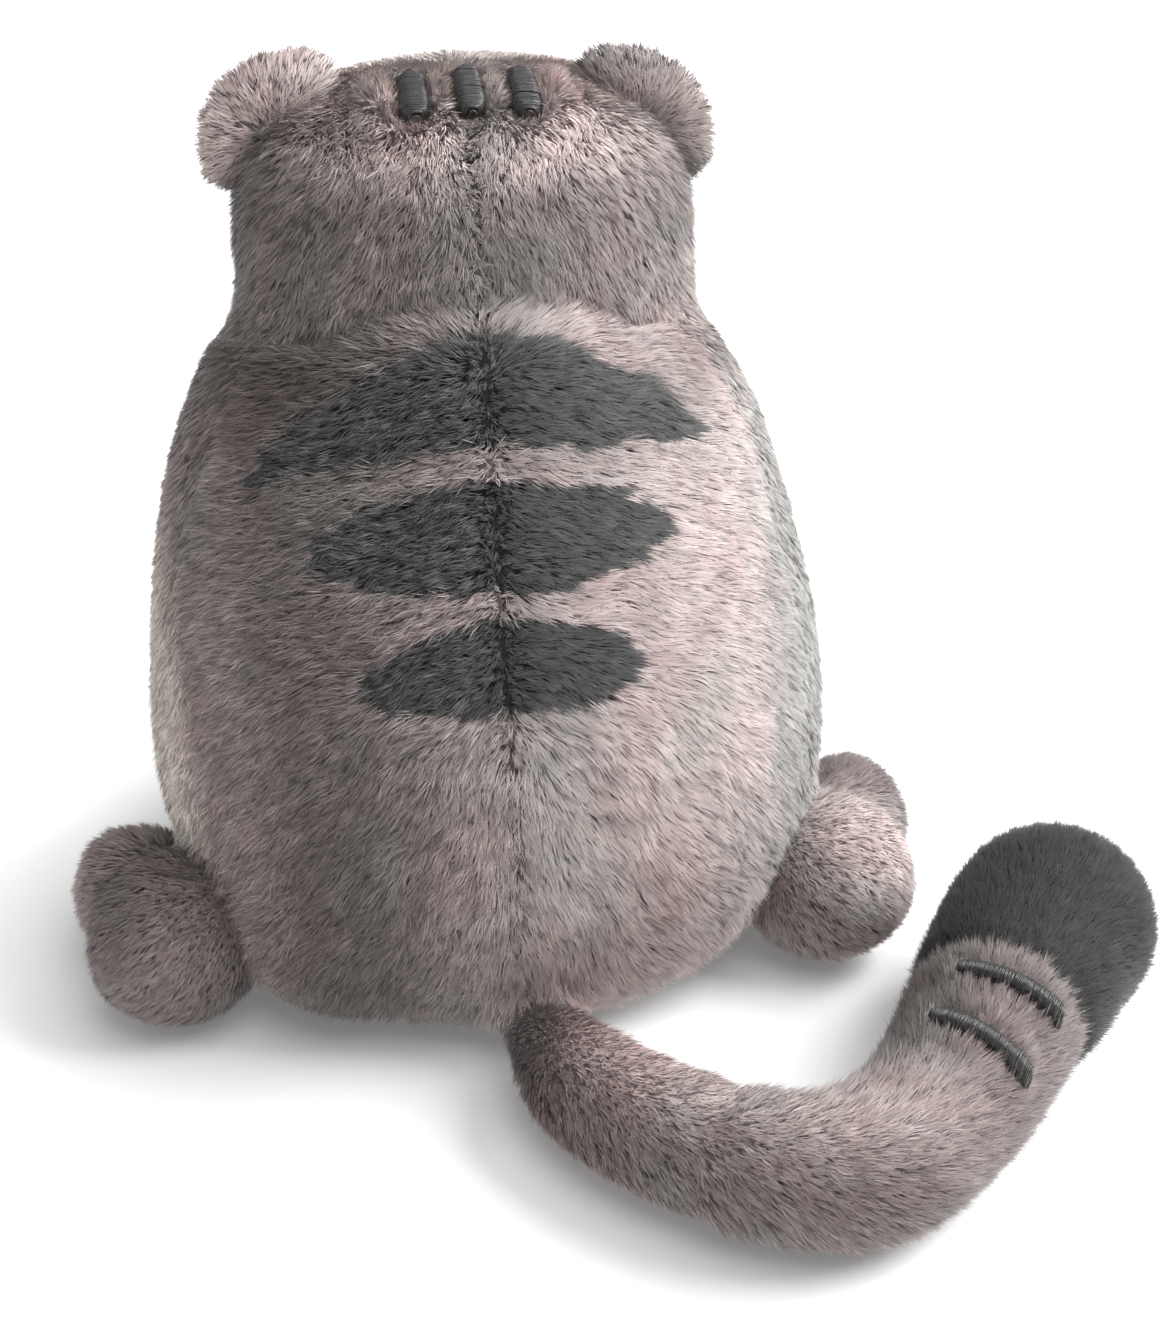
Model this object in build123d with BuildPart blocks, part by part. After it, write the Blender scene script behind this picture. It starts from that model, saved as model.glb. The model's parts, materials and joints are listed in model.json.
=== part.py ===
"""A seated plush cat with a curled tail, as its sewn panels, filling, stitched trim and joints.

The cat sits on the XY plane and looks along -Y. +X is its left-hand side. The origin is the
middle of the flat base it rests on. Lengths are in millimetres and angles in degrees.
"""
import os
from math import asin, cos, degrees, radians, sin

from build123d import *

# Cloth and clearances
panel = 7.0             # a sewn panel, its knitted backing and its pile together
limb_panel = 5.0        # the same on the limbs, ears and tail, where the pile is shorter
socket_wall = 3.0       # cloth around the seat of a limb
gap = 0.6               # air between pieces that move against each other
thread = 0.6            # how far embroidery stands proud of the pile
thread_depth = 3.0      # how far embroidery presses the pile down

# Body: cross-sections from the base to the neck
# (y, height, lean in degrees, half width, half depth)
torso_sections = [
    (6, 0, 0, 60, 50),
    (6, 5, 0, 78, 65),
    (6, 18, 0, 92, 77),
    (6, 42, 2, 100, 83),
    (3, 72, 4, 101.5, 84),
    (-2, 102, 8, 98.5, 81),
    (-10, 132, 12, 92, 75),
    (-20, 160, 17, 82, 68),
    (-28, 180, 26, 71, 62.5),
]
side_seam_y = 44        # where the side seams cross height 91
side_seam_lean = 0.35   # how far they come forward for each millimetre of height
belly_seam_y = -25      # where the belly seams cross height 91
belly_seam_lean = 0.2
seam_height = 91
base_height = 8

# Neck: a ball on the body under a hollow in the head
neck_y, neck_z, neck_lean = -28, 180, 26
neck_drop = 32          # from the neck down to the nod's axis
neck_radius = 70
nod_limit = 6

# Head: cross-sections from the neck to the crown
head_sections = [
    (-28.5, 181, 26, 67, 59),
    (-40, 207, 22, 67, 58),
    (-48, 226, 18, 65, 53),
    (-53, 239, 15, 57, 44),
    (-56, 247, 12, 43, 32),
    (-58, 251, 10, 24, 18),
]
face_seam_y = -62

# Limbs: (seat of the limb), (middle of its far end), both as x, y, z
leg_points = {
    "left": ((97, 43, 27), (110, 18, 25.5)),
    "right": ((-97, 38, 27), (-109, 10, 27)),
}
leg_radius, foot_radius = 26, 19.5
leg_cut_angles = (-4, 0, 4)
sole_share = 0.45       # of the foot's radius, from its middle to the sole seam
toe_stitch_side, toe_stitch_rise, toe_stitch_length = 0.33, 0.3, 0.75   # shares of the foot's radius
paw_points = {
    "left": ((64, -58, 142), (69, -84, 119)),
    "right": ((-64, -58, 142), (-69, -84, 119)),
}
paw_radius, paw_tip_radius = 15, 13
paw_cut_angles = (-10, 0, 15, 30)

# Ears: flattened round lobes, hinged along their sewn edge
ear_roots = {
    "left": (52, -46, 236),
    "right": (-49, -45.5, 233.5),
}
ear_radius = 21.5
ear_half_thickness = 11
ear_roll = 45
ear_cut_angles = (0, -20, 20)

# Tail: its middle line on the floor, from the body to the tip
tail_line = [
    (-4, 82, 18),
    (-15, 114, 20.2),
    (-42, 144.5, 23),
    (-79, 160, 25.8),
    (-109, 143, 28.2),
    (-133, 109, 31),
    (-154, 80, 33.5),
]
tail_root_radius = 17
tail_tip_radius = 32.5
tail_sections = 4       # cross-sections that each length is lofted through
tail_joints = (0.31, 0.60)      # shares of the tail's length
tail_cut_angles = (0, 7, 14)    # the last is the bend's limit at each joint
tail_trim_angle = 17            # trim of a segment's start, just over its bend
tail_seam_share = 0.82          # where the dark tip is sewn on
tail_band_shares = (0.68, 0.765)
tail_band_width = 4.5
tail_band_half_length = 15
tail_band_shift = 4     # from the top of the tail to the outside of its curl
tail_band_reach = 1.5    # of the tip's radius, from the middle line to above the pile

# Stripes on the back, drawn on a plane that faces the back's slope
stripe_slope = 30
stripe_plane = Plane(
    origin=(0, 60, 150), x_dir=(-1, 0, 0), z_dir=(0, cos(radians(stripe_slope)), sin(radians(stripe_slope)))
)
# half width, height of the tips, height of the top edge and of the bottom edge at the middle
stripes = [
    (58, 30, 63.5, 35),
    (48, 11, 26.5, -3),
    (36, -26, -10, -34.5),
]
stripe_reach = 35       # how far the stripes are cut into the body
stripe_overshoot = 15   # and how far past its back

# Crown bars, eyes, nose, mouth and whiskers
crown_bar_x = (14.5, -0.5, -15.5)
crown_bar_y = -27
crown_bar_length, crown_bar_width = 26, 8
crown_bar_bottom, crown_bar_reach = 230, 30
eye_z = 204
eye_radius, eye_sink = 8, 2.5
eye_start_y = -30       # both lines of sight start here, in the middle of the head
eye_turn = 23           # how far each eye looks out to its own side
sight_length = 100
eye_rim = 1.5
shank_radius, shank_length = 2, 13
washer_radius, washer_thickness = 7, 1.5
washer_inset = 3        # from the shank's end to the washer
nose_z, nose_width, nose_height = 194, 13, 9
nose_crown, nose_hollow, nose_hollow_width = 0.6, 0.15, 0.33    # shares of the nose's size
mouth_radius, mouth_gap, stitch_width = 6, 2, 1.8
mouth_start, mouth_sweep = 190, 150
whisker_start, whisker_length = 33, 16
whisker_drop, whisker_spacing, whisker_fan = 10, 5, 3
face_plane_y, face_reach = -70, 60

# Weighted pouch of pellets low in the body
pouch_z, pouch_width, pouch_depth, pouch_height, pouch_cloth = 27, 60, 48, 30, 1.2
pouch_rounding = 0.35   # share of its height

os.makedirs("parts", exist_ok=True)


def finish(piece, name):
    """Name a finished piece and write it."""
    piece.part.label = name
    export_step(piece.part, f"parts/{name}.step")


def leaning_plane(y, z, lean):
    """Plane of a cross-section whose upper side leans towards the face."""
    return Plane(origin=(0, y, z), x_dir=(1, 0, 0), z_dir=(0, -sin(radians(lean)), cos(radians(lean))))


def leaning_body(sections, inset=0.0):
    """A smooth body through elliptical cross-sections, all of them inset alike."""
    with BuildPart() as body:
        for y, z, lean, half_width, half_depth in sections:
            with BuildSketch(leaning_plane(y, z, lean)):
                Ellipse(half_width - inset, half_depth - inset)
        loft()
    return body.part


def ball(centre, radius):
    """A full ball."""
    with BuildPart() as solid:
        with Locations(centre):
            Sphere(radius)
    return solid.part


def capsule(near, far, near_radius, far_radius):
    """A limb: the hull of two balls of different size."""
    along = Vector(*far) - Vector(*near)
    length = along.length
    axis = along.normalized()
    across = axis.cross(Vector(0, 0, 1)).normalized()
    slope = degrees(asin((near_radius - far_radius) / length))
    with BuildPart() as limb:
        with BuildSketch(Plane(origin=near, x_dir=axis, z_dir=across)):
            with BuildLine():
                back = CenterArc((0, 0), near_radius, 90 - slope, 90 + slope)
                front = CenterArc((length, 0), far_radius, 0, 90 - slope)
                Line(back @ 0, front @ 1)
                Line(front @ 0, back @ 1)
            make_face()
        revolve(axis=Axis(near, axis))
    return limb.part


def kept_side(solid, plane, keep=Keep.TOP):
    """The part of a solid on one side of a plane."""
    with BuildPart() as side:
        add(solid)
        split(bisect_by=plane, keep=keep)
    return side.part


def without(solid, *tools):
    """A solid with other solids cut away."""
    with BuildPart() as rest:
        add(solid)
        for tool in tools:
            add(tool, mode=Mode.SUBTRACT)
    return rest.part


def turned(solid, centre, direction, angles):
    """Copies of a solid turned about an axis, to clear the room it swings through."""
    return [solid.rotate(Axis(centre, direction), angle) for angle in angles]


# ---------------------------------------------------------------------------------- axes
neck_plane = leaning_plane(neck_y, neck_z, neck_lean)
nod_centre = neck_plane.origin - neck_plane.z_dir * neck_drop
tail_path = Spline(*tail_line)
tail_length = tail_path.length
print("nod centre", nod_centre)
print("tail length", tail_length, "joints", [tail_path @ share for share in tail_joints])


# ---------------------------------------------------------------------------------- limbs
def leg_solid(side, growth=0.0):
    """A hind leg, grown or shrunk all round."""
    seat, toe = leg_points[side]
    return capsule(seat, toe, leg_radius + growth, foot_radius + growth)


def paw_solid(side, growth=0.0):
    """A front paw, grown or shrunk all round."""
    seat, tip = paw_points[side]
    return capsule(seat, tip, paw_radius + growth, paw_tip_radius + growth)


def toe_stitches(side, skin):
    """Two embroidered toe lines over the end of a foot."""
    seat, toe = leg_points[side]
    ahead = (Vector(*toe) - Vector(*seat)).normalized()
    across = ahead.cross(Vector(0, 0, 1)).normalized()
    with BuildPart() as lines:
        with BuildSketch(Plane(origin=toe, x_dir=across, z_dir=ahead)):
            rise = foot_radius * toe_stitch_rise
            with Locations(*[(sign * foot_radius * toe_stitch_side, rise) for sign in (-1, 1)]):
                SlotOverall(foot_radius * toe_stitch_length, stitch_width, rotation=90)
        extrude(amount=foot_radius + limb_panel)
        add(skin, mode=Mode.INTERSECT)
    return lines.part


leg_cuts = []
leg_seats = []
for side, turn in (("left", 1), ("right", -1)):
    seat, toe = leg_points[side]
    ahead = (Vector(*toe) - Vector(*seat)).normalized()
    sole_plane = Plane(origin=Vector(*toe) + ahead * (foot_radius * sole_share), z_dir=ahead)

    with BuildPart() as leg_stuffing:
        add(leg_solid(side, -limb_panel))
    finish(leg_stuffing, f"leg_{side}_stuffing")

    leg_skin_room = without(leg_solid(side), leg_stuffing.part)
    stitch_zone = without(leg_solid(side, thread), leg_solid(side, -thread_depth))
    with BuildPart() as stitches:
        add(toe_stitches(side, stitch_zone))
    finish(stitches, f"leg_{side}_toe_stitches")

    with BuildPart() as sole:
        add(leg_skin_room)
        split(bisect_by=sole_plane)
        add(stitches.part, mode=Mode.SUBTRACT)
    finish(sole, f"leg_{side}_sole")

    with BuildPart() as leg_skin:
        add(leg_skin_room)
        split(bisect_by=sole_plane, keep=Keep.BOTTOM)
        add(stitches.part, mode=Mode.SUBTRACT)
    finish(leg_skin, f"leg_{side}_skin")

    leg_cuts += turned(leg_solid(side, gap), seat, (0, 0, turn), leg_cut_angles)
    leg_seats += turned(leg_solid(side, gap + socket_wall), seat, (0, 0, turn), leg_cut_angles)

paw_cuts = []
paw_seats = []
for side in ("left", "right"):
    with BuildPart() as paw_stuffing:
        add(paw_solid(side, -limb_panel))
    finish(paw_stuffing, f"paw_{side}_stuffing")

    with BuildPart() as paw_skin:
        add(paw_solid(side))
        add(paw_stuffing.part, mode=Mode.SUBTRACT)
    finish(paw_skin, f"paw_{side}_skin")

    seat = paw_points[side][0]
    paw_cuts += turned(paw_solid(side, gap), seat, (-1, 0, 0), paw_cut_angles)
    paw_seats += turned(paw_solid(side, gap + socket_wall), seat, (-1, 0, 0), paw_cut_angles)


# ---------------------------------------------------------------------------------- tail
def tail_radius(share):
    """The tail's radius at a share of its length; it grows towards the tip."""
    return tail_root_radius + (tail_tip_radius - tail_root_radius) * share


def tail_plane(share):
    """Cross-section plane of the tail, facing the tip."""
    return Plane(origin=tail_path @ share, x_dir=(0, 0, 1), z_dir=tail_path % share)


def tail_segment(start, end, growth=0.0, start_margin=0.0):
    """A length of tail with a ball at its end and, past the first, a hollow at its start."""
    with BuildPart() as tube:
        for step in range(tail_sections):
            share = start + (end - start) * step / (tail_sections - 1)
            with BuildSketch(tail_plane(share)):
                Circle(tail_radius(share) + growth)
        loft()
    end_cap = kept_side(ball(tail_path @ end, tail_radius(end) + growth), tail_plane(end))
    with BuildPart() as segment:
        add(tube.part)
        add(end_cap)
        if start == 0:
            add(kept_side(ball(tail_path @ 0, tail_radius(0) + growth), tail_plane(0), Keep.BOTTOM))
        else:
            trim = tail_radius(start) * sin(radians(tail_trim_angle)) + start_margin
            split(bisect_by=tail_plane(start).offset(trim))
            add(ball(tail_path @ start, tail_radius(start) + gap + start_margin), mode=Mode.SUBTRACT)
    return segment.part


def tail_band(share, zone):
    """A satin-stitched bar over the top of the tail, square to its length."""
    along = Vector((tail_path % share).X, (tail_path % share).Y, 0).normalized()
    outward = along.cross(Vector(0, 0, 1))
    middle = tail_path @ share + outward * tail_band_shift
    with BuildPart() as band:
        with BuildSketch(Plane(origin=middle, x_dir=outward, z_dir=(0, 0, 1))):
            SlotOverall(tail_band_half_length * 2, tail_band_width)
        extrude(amount=tail_tip_radius * tail_band_reach)
        add(zone, mode=Mode.INTERSECT)
    return band.part


tail_spans = {
    "base": (0, tail_joints[0]),
    "mid": (tail_joints[0], tail_joints[1]),
    "end": (tail_joints[1], 1),
}
for name, (start, end) in tail_spans.items():
    with BuildPart() as tail_stuffing:
        add(tail_segment(start, end, -limb_panel, socket_wall))
    finish(tail_stuffing, f"tail_{name}_stuffing")
    tail_skin_room = without(tail_segment(start, end), tail_stuffing.part)
    if name != "end":
        with BuildPart() as tail_skin:
            add(tail_skin_room)
        finish(tail_skin, f"tail_{name}_skin")
        continue

    band_zone = without(tail_segment(start, end, thread), tail_segment(start, end, -thread_depth))
    bands = []
    for number, share in enumerate(tail_band_shares, 1):
        with BuildPart() as tail_band_piece:
            add(tail_band(share, band_zone))
        finish(tail_band_piece, f"tail_band_{number}")
        bands.append(tail_band_piece.part)

    with BuildPart() as tail_skin:
        add(tail_skin_room)
        split(bisect_by=tail_plane(tail_seam_share), keep=Keep.BOTTOM)
        for band in bands:
            add(band, mode=Mode.SUBTRACT)
    finish(tail_skin, "tail_end_skin")

    with BuildPart() as tail_tip:
        add(tail_skin_room)
        split(bisect_by=tail_plane(tail_seam_share))
    finish(tail_tip, "tail_tip")


# ---------------------------------------------------------------------------------- ears
def ear_hinge(side):
    """Direction of an ear's hinge line, from its inner end to its outer end on the left ear."""
    sign = 1 if side == "left" else -1
    return Vector(cos(radians(ear_roll)), 0, -sign * sin(radians(ear_roll)))


def ear_solid(side, growth=0.0):
    """An ear: a flat round lobe outside its hinge line, a spindle about that line inside."""
    hinge = ear_hinge(side)
    out = Vector(-hinge.Z, 0, hinge.X)
    root = Vector(*ear_roots[side])
    radius = ear_radius + growth
    thick = ear_half_thickness + growth
    base = Plane(origin=root, x_dir=hinge, z_dir=out)
    with BuildPart() as ear:
        with BuildSketch(base):
            Ellipse(radius, thick)
            Rectangle(radius, 2 * thick, align=(Align.MAX, Align.CENTER), mode=Mode.SUBTRACT)
        revolve(axis=Axis(root, base.y_dir), revolution_arc=-180)
        with BuildSketch(base):
            Ellipse(radius, thick)
            Rectangle(2 * radius, thick, align=(Align.CENTER, Align.MAX), mode=Mode.SUBTRACT)
        revolve(axis=Axis(root, hinge), revolution_arc=-180)
    return ear.part


ear_cuts = []
for side, root in ear_roots.items():
    ear = ear_solid(side)
    with BuildPart() as ear_back:
        add(ear)
        split(bisect_by=Plane(origin=root, z_dir=(0, 1, 0)))
    finish(ear_back, f"ear_{side}_back")
    with BuildPart() as ear_front:
        add(ear)
        split(bisect_by=Plane(origin=root, z_dir=(0, 1, 0)), keep=Keep.BOTTOM)
    finish(ear_front, f"ear_{side}_front")
    ear_cuts += turned(ear_solid(side, gap), root, ear_hinge(side), ear_cut_angles)


# ---------------------------------------------------------------------------------- head
def head_solid(inset=0.0, socket_growth=0.0):
    """The head with the hollow that takes the neck's ball."""
    return without(leaning_body(head_sections, inset), ball(nod_centre, neck_radius + gap + socket_growth))


def face_embroidery(outline, zone):
    """Stitching on the front of the face, as deep as the zone it is cut from."""
    with BuildPart() as stitching:
        extrude(outline.sketch, amount=face_reach, dir=face_plane.z_dir)
        add(zone, mode=Mode.INTERSECT)
    return stitching.part


head = without(head_solid(), *ear_cuts)
crown_y, crown_z = head_sections[-1][:2]
head_inner = without(
    kept_side(head_solid(panel, panel), Plane(origin=(0, crown_y, crown_z - panel), z_dir=(0, 0, -1))),
    *[ear_solid(side, gap + socket_wall) for side in ear_roots],
)
thread_zone = without(leaning_body(head_sections, -thread), leaning_body(head_sections, thread_depth))

eye_parts = []
for side, sign in (("left", 1), ("right", -1)):
    look = Vector(sign * sin(radians(eye_turn)), -cos(radians(eye_turn)), 0)
    sight = Line((0, eye_start_y, eye_z), Vector(0, eye_start_y, eye_z) + look * sight_length)
    face_point = min((sight & head).vertices(), key=lambda vertex: vertex.Y)
    centre = Vector(face_point.X, face_point.Y, face_point.Z) - look * eye_sink
    with BuildPart() as eye:
        with BuildSketch(Plane(origin=centre, x_dir=look, z_dir=(0, 0, 1))):
            with BuildLine():
                dome = CenterArc((0, 0), eye_radius, 0, 90)
                Polyline(dome @ 1, (-eye_rim, eye_radius), (-eye_rim, shank_radius),
                         (-shank_length, shank_radius), (-shank_length, 0), dome @ 0)
            make_face()
        revolve(axis=Axis(centre, look))
    finish(eye, f"eye_{side}")
    with BuildPart() as washer:
        with BuildSketch(Plane(origin=centre - look * (shank_length - washer_inset), z_dir=look)):
            Circle(washer_radius)
            Circle(shank_radius, mode=Mode.SUBTRACT)
        extrude(amount=washer_thickness)
    finish(washer, f"eye_{side}_washer")
    eye_parts += [eye.part, washer.part]

face_plane = Plane(origin=(0, face_plane_y, 0), x_dir=(1, 0, 0), z_dir=(0, -1, 0))
with BuildSketch(face_plane) as nose_outline:
    with BuildLine():
        tip = (0, nose_z - nose_height / 2)
        left_corner = (nose_width / 2, nose_z + nose_height / 2)
        right_corner = (-nose_width / 2, nose_z + nose_height / 2)
        hollow_x, hollow_z = nose_width * nose_hollow_width, nose_z - nose_height * nose_hollow
        ThreePointArc(right_corner, (0, nose_z + nose_height * nose_crown), left_corner)
        ThreePointArc(left_corner, (hollow_x, hollow_z), tip)
        ThreePointArc(tip, (-hollow_x, hollow_z), right_corner)
    make_face()
with BuildPart() as nose:
    add(face_embroidery(nose_outline, thread_zone))
finish(nose, "nose")

with BuildSketch(face_plane) as mouth_outline:
    for sign in (1, -1):
        with BuildLine() as smile:
            smile_centre = (sign * mouth_radius, nose_z - nose_height / 2 - mouth_gap)
            CenterArc(smile_centre, mouth_radius, mouth_start, mouth_sweep)
        trace(smile.line, stitch_width)
with BuildPart() as mouth:
    add(face_embroidery(mouth_outline, thread_zone))
    add(nose.part, mode=Mode.SUBTRACT)
finish(mouth, "mouth_stitches")

with BuildSketch(face_plane) as whisker_outline:
    for sign in (1, -1):
        for row in (-1, 0, 1):
            with BuildLine() as whisker:
                start = (sign * whisker_start, nose_z - whisker_drop + row * whisker_spacing)
                Line(start, (start[0] + sign * whisker_length, start[1] + row * whisker_fan))
            trace(whisker.line, stitch_width)
with BuildPart() as whiskers:
    add(face_embroidery(whisker_outline, thread_zone))
finish(whiskers, "whisker_stitches")

crown_bars = []
for number, x in enumerate(crown_bar_x, 1):
    with BuildPart() as crown_bar:
        with BuildSketch(Plane(origin=(x, crown_bar_y, crown_bar_bottom))):
            SlotOverall(crown_bar_length, crown_bar_width, rotation=90)
        extrude(amount=crown_bar_reach)
        add(thread_zone, mode=Mode.INTERSECT)
    finish(crown_bar, f"crown_bar_{number}")
    crown_bars.append(crown_bar.part)

head_trim = eye_parts + [nose.part, mouth.part, whiskers.part] + crown_bars
with BuildPart() as head_stuffing:
    add(head_inner)
    for piece in eye_parts:
        add(piece, mode=Mode.SUBTRACT)
finish(head_stuffing, "head_stuffing")

head_skin = without(head, head_inner, *head_trim)
face_seam = Plane(origin=(0, face_seam_y, 0), z_dir=(0, 1, 0))
centre_seam = Plane(origin=(0, 0, 0), x_dir=(0, 1, 0), z_dir=(1, 0, 0))
with BuildPart() as face_panel:
    add(head_skin)
    split(bisect_by=face_seam, keep=Keep.BOTTOM)
finish(face_panel, "face_panel")
head_back = kept_side(head_skin, face_seam)
for side, keep in (("left", Keep.TOP), ("right", Keep.BOTTOM)):
    with BuildPart() as head_panel:
        add(head_back)
        split(bisect_by=centre_seam, keep=keep)
    finish(head_panel, f"head_back_{side}")

# ---------------------------------------------------------------------------------- body
neck_ball = kept_side(ball(nod_centre, neck_radius), neck_plane)
neck_ball_inner = kept_side(ball(nod_centre, neck_radius - panel), neck_plane.offset(-panel))
head_room = without(leaning_body(head_sections, -gap), ball(nod_centre, neck_radius))
head_cuts = turned(head_room, nod_centre, (1, 0, 0), (-nod_limit, 0, nod_limit))
tail_cuts = turned(tail_segment(*tail_spans["base"], gap), tail_path @ 0, (0, 0, -1), tail_cut_angles)

with BuildPart() as torso_solid:
    add(leaning_body(torso_sections))
    add(neck_ball)
    for cut in head_cuts + leg_cuts + paw_cuts + tail_cuts:
        add(cut, mode=Mode.SUBTRACT)

with BuildPart() as torso_inner:
    add(leaning_body(torso_sections, panel))
    split(bisect_by=Plane.XY.offset(base_height))
    split(bisect_by=neck_plane.offset(-panel), keep=Keep.BOTTOM)
    add(neck_ball_inner)
    for cut in leg_seats + paw_seats:
        add(cut, mode=Mode.SUBTRACT)
    add(ball(tail_path @ 0, tail_root_radius + gap + socket_wall), mode=Mode.SUBTRACT)

with BuildPart() as pellets:
    with Locations((0, torso_sections[0][0], pouch_z)):
        Box(pouch_width, pouch_depth, pouch_height)
    fillet(pellets.edges(), pouch_height * pouch_rounding)
finish(pellets, "pellet_fill")

with BuildPart() as pouch:
    with Locations((0, torso_sections[0][0], pouch_z)):
        Box(pouch_width + 2 * pouch_cloth, pouch_depth + 2 * pouch_cloth, pouch_height + 2 * pouch_cloth)
    fillet(pouch.edges(), pouch_height * pouch_rounding + pouch_cloth)
    add(pellets.part, mode=Mode.SUBTRACT)
finish(pouch, "pellet_pouch")

with BuildPart() as torso_stuffing:
    add(torso_inner.part)
    add(pouch.part, mode=Mode.SUBTRACT)
    add(pellets.part, mode=Mode.SUBTRACT)
finish(torso_stuffing, "torso_stuffing")

torso_skin = without(torso_solid.part, torso_inner.part)

base_seam = Plane.XY.offset(base_height)
with BuildPart() as base_panel:
    add(torso_skin)
    split(bisect_by=base_seam, keep=Keep.BOTTOM)
finish(base_panel, "base_panel")

walls = kept_side(torso_skin, base_seam)
side_seam = Plane(origin=(0, side_seam_y, seam_height), x_dir=(1, 0, 0), z_dir=(0, 1, side_seam_lean))
belly_seam = Plane(origin=(0, belly_seam_y, seam_height), x_dir=(1, 0, 0), z_dir=(0, 1, belly_seam_lean))
with BuildPart() as belly_panel:
    add(walls)
    split(bisect_by=belly_seam, keep=Keep.BOTTOM)
finish(belly_panel, "belly_panel")

side_walls = kept_side(kept_side(walls, belly_seam), side_seam, Keep.BOTTOM)
back_walls = kept_side(walls, side_seam)
stripe_blocks = []
for half_width, tip_height, top, bottom in stripes:
    with BuildPart() as stripe_block:
        with BuildSketch(stripe_plane.offset(-stripe_reach)):
            with BuildLine():
                ThreePointArc((-half_width, tip_height), (0, bottom), (half_width, tip_height))
                ThreePointArc((-half_width, tip_height), (0, top), (half_width, tip_height))
            make_face()
        extrude(amount=stripe_reach + stripe_overshoot)
    stripe_blocks.append(stripe_block.part)

for side, keep in (("left", Keep.TOP), ("right", Keep.BOTTOM)):
    with BuildPart() as side_panel:
        add(side_walls)
        split(bisect_by=centre_seam, keep=keep)
    finish(side_panel, f"side_panel_{side}")

    back_half = kept_side(back_walls, centre_seam, keep)
    for number, block in enumerate(stripe_blocks, 1):
        with BuildPart() as stripe:
            add(back_half)
            add(block, mode=Mode.INTERSECT)
        finish(stripe, f"stripe_{number}_{side}")

    with BuildPart() as back_panel:
        add(back_half)
        for block in stripe_blocks:
            add(block, mode=Mode.SUBTRACT)
    finish(back_panel, f"back_panel_{side}")
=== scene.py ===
"""A sitting plush cat in long grey pile, seen from behind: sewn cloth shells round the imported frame, pile
strands rooted in the cloth, satin stitching of laid threads, soft studio light and a pale floor.

Lengths are in millimetres until they are written to a mesh. X is the cat's left, Y its back, Z up."""
import json
import math

import bmesh
import bpy
import numpy as np
from mathutils import Matrix, Vector
from mathutils.bvhtree import BVHTree
from mathutils.kdtree import KDTree

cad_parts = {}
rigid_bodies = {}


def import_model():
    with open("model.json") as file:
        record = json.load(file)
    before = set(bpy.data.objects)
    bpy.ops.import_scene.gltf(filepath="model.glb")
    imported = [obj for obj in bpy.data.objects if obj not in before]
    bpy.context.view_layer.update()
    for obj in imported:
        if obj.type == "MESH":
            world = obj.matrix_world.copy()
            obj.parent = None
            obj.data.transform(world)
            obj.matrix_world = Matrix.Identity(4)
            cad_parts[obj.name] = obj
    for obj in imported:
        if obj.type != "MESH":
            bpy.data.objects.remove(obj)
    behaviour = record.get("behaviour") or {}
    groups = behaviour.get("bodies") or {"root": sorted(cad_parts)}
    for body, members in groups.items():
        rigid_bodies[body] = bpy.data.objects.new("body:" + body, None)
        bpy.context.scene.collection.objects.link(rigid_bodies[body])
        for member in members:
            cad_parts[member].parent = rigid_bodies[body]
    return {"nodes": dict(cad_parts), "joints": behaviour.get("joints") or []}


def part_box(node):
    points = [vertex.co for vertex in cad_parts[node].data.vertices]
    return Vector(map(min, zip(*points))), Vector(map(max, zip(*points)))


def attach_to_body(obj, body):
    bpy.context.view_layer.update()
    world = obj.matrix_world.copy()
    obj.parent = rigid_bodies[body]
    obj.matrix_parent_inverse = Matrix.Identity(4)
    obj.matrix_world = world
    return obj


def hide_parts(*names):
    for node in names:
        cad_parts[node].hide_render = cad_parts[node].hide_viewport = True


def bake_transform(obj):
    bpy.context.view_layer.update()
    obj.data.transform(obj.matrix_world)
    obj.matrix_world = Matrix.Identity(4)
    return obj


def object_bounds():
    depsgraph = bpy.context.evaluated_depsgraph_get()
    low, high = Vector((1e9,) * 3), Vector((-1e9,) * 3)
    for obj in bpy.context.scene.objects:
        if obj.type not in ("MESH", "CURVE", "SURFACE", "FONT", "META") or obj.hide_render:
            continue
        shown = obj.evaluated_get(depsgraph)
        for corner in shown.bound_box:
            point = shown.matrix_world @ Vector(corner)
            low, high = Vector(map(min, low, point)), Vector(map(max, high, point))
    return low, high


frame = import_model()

cad_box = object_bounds()
nodes = frame["nodes"]
joints = {joint["name"]: joint for joint in frame["joints"]}

MM = 0.001
SIDES = ("left", "right")
STRAND_BUDGET = 64000        # strands in one piece, which keeps it under 200,000 triangles

# ---------------------------------------------------------------- the toy's driving places: its joints from its CAD, the rest given as numbers
joint_ball = {name: np.array(joint["pos_m"]) / MM for name, joint in joints.items()}
NECK = np.array((0.0, -28.0, 180.0))
NECK_LEAN = math.radians(26)
NECK_UP = np.array((0.0, -math.sin(NECK_LEAN), math.cos(NECK_LEAN)))
NECK_BLEND = 24
TAIL_LINE = ((-4, 82, 18), (-15, 114, 20.2), (-42, 144.5, 23), (-79, 160, 25.8), (-109, 143, 28.2),
             (-133, 109, 31), (-154, 80, 33.5))
# stripes on a plane that faces the back's slope: half width, heights of the left and right tips, heights of the
# top and bottom edges at the middle, and how pointed the tips are
STRIPE_ORIGIN = np.array((0.0, 60.0, 150.0))
STRIPE_UP = np.array((0.0, -math.sin(math.radians(30)), math.cos(math.radians(30))))
STRIPES = ((59, (30, 37), (63.5, 35), 0.8),
           (45.5, (9, 13), (26.5, -3), 0.55),
           (35, (-27, -24), (-10, -34.5), 0.5))

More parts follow.
